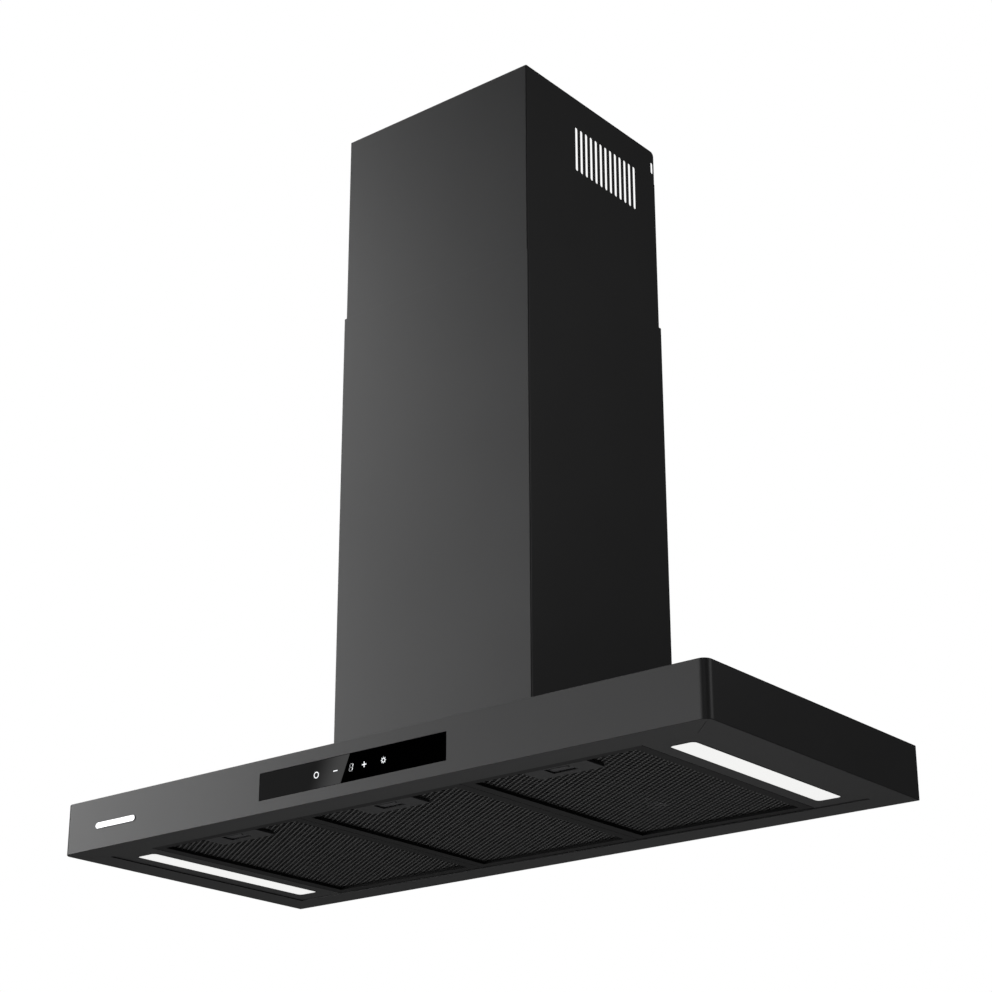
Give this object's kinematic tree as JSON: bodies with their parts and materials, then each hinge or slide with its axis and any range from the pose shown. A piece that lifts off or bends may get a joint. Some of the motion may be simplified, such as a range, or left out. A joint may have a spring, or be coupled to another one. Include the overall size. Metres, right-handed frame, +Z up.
{
  "type": "wall-mounted chimney range hood",
  "caption": "Flat box canopy range hood with a telescoping rectangular chimney, drop-down mesh filters, strip lamps and a touch panel.",
  "frame": {"origin": "on the wall plane, at the centre of the canopy's lower rear edge", "axes": "+X to the right seen from the front, +Y into the wall (out of the hood's back), +Z up"},
  "size_m": [0.9, 0.3989, 0.898],
  "materials": {
    "black_steel": "satin black enamel on steel sheet",
    "galvanised_steel": "galvanised, faint spangle",
    "badge_metal": "satin, blank",
    "black_glass": "polished, printed black on its rear face",
    "icon_light": "lit from behind",
    "black_plastic": "moulded",
    "circuit_board": "solder mask",
    "lamp_diffuser": "opal, lit from behind",
    "filter_frame_black": "satin black on aluminium",
    "filter_mesh_black": "black coated aluminium mesh",
    "latch_black": "fine texture",
    "spring_steel": "ground",
    "screw_steel": "zinc plated",
    "motor_steel": "bare lacquered steel can",
    "capacitor_case": "drawn can",
    "rubber": "moulded"
  },
  "bodies": {
    "hood": {"blank_badge": "badge_metal", "blower_screws": "screw_steel", "cable_gland": "black_plastic", "canopy_back_panel": "galvanised_steel", "canopy_shell": "black_steel", "casing_front": "galvanised_steel", "casing_rear": "galvanised_steel", "casing_side_left": "galvanised_steel", "casing_side_right": "galvanised_steel", "casing_top": "galvanised_steel", "collar_screws": "screw_steel", "control_board": "circuit_board", "control_carrier": "black_plastic", "control_glass": "black_glass", "control_icons": "icon_light", "cover_screws": "screw_steel", "lamp_board_left": "circuit_board", "lamp_board_right": "circuit_board", "lamp_housing_left": "galvanised_steel", "lamp_housing_right": "galvanised_steel", "lamp_lens_left": "lamp_diffuser", "lamp_lens_right": "lamp_diffuser", "lamp_panel_left": "black_steel", "lamp_panel_right": "black_steel", "lower_duct_cover": "black_steel", "motor": "motor_steel", "motor_capacitor": "capacitor_case", "motor_feet": "rubber", "motor_spider": "galvanised_steel", "outlet_collar": "black_plastic", "power_board": "circuit_board", "power_box": "black_plastic", "power_box_lid": "black_plastic", "power_box_screws": "screw_steel", "scroll_left": "black_plastic", "scroll_right": "black_plastic", "wall_plate": "galvanised_steel", "wall_plate_screws": "screw_steel"},
    "upper_cover": {"upper_duct_cover": "black_steel"},
    "fan": {"fan_wheel": "black_plastic", "fan_blades_left": "black_plastic", "fan_blades_right": "black_plastic", "motor_shaft": "spring_steel"},
    "flap_front": {"damper_flap_front": "black_plastic"},
    "flap_rear": {"damper_flap_rear": "black_plastic"},
    "filter_left": {"filter_frame_left": "filter_frame_black", "filter_mesh_left": "filter_mesh_black", "latch_plate_left": "latch_black", "latch_spring_left": "spring_steel"},
    "latch_left": {"latch_slider_left": "latch_black"},
    "filter_centre": {"filter_frame_centre": "filter_frame_black", "filter_mesh_centre": "filter_mesh_black", "latch_plate_centre": "latch_black", "latch_spring_centre": "spring_steel"},
    "latch_centre": {"latch_slider_centre": "latch_black"},
    "filter_right": {"filter_frame_right": "filter_frame_black", "filter_mesh_right": "filter_mesh_black", "latch_plate_right": "latch_black", "latch_spring_right": "spring_steel"},
    "latch_right": {"latch_slider_right": "latch_black"}
  },
  "joints": [
    {"name": "upper_cover_slide", "type": "slide", "parent": "hood", "child": "upper_cover", "axis": [0, 0, 1], "range_m": [-0.235, 0.17]},
    {"name": "fan_spin", "type": "hinge", "parent": "hood", "child": "fan", "pos_m": [0, -0.162, 0.19], "axis": [1, 0, 0], "continuous": true},
    {"name": "flap_front_swing", "type": "hinge", "parent": "hood", "child": "flap_front", "pos_m": [0, -0.104, 0.352], "axis": [-1, 0, 0], "range_deg": [0, 80]},
    {"name": "flap_rear_swing", "type": "hinge", "parent": "hood", "child": "flap_rear", "pos_m": [0, -0.096, 0.352], "axis": [1, 0, 0], "range_deg": [0, 80]},
    {"name": "filter_left_drop", "type": "hinge", "parent": "hood", "child": "filter_left", "pos_m": [-0.2298, -0.037, 0.0019], "axis": [1, 0, 0], "range_deg": [0, 65]},
    {"name": "latch_left_slide", "type": "slide", "parent": "filter_left", "child": "latch_left", "axis": [0, 1, 0], "range_m": [0, 0.004], "stiffness_N_per_m": 300, "springref_m": -0.002, "deforming": ["latch_spring_left"]},
    {"name": "filter_centre_drop", "type": "hinge", "parent": "hood", "child": "filter_centre", "pos_m": [0, -0.037, 0.0019], "axis": [1, 0, 0], "range_deg": [0, 65]},
    {"name": "latch_centre_slide", "type": "slide", "parent": "filter_centre", "child": "latch_centre", "axis": [0, 1, 0], "range_m": [0, 0.004], "stiffness_N_per_m": 300, "springref_m": -0.002, "deforming": ["latch_spring_centre"]},
    {"name": "filter_right_drop", "type": "hinge", "parent": "hood", "child": "filter_right", "pos_m": [0.2298, -0.037, 0.0019], "axis": [1, 0, 0], "range_deg": [0, 65]},
    {"name": "latch_right_slide", "type": "slide", "parent": "filter_right", "child": "latch_right", "axis": [0, 1, 0], "range_m": [0, 0.004], "stiffness_N_per_m": 300, "springref_m": -0.002, "deforming": ["latch_spring_right"]}
  ]
}
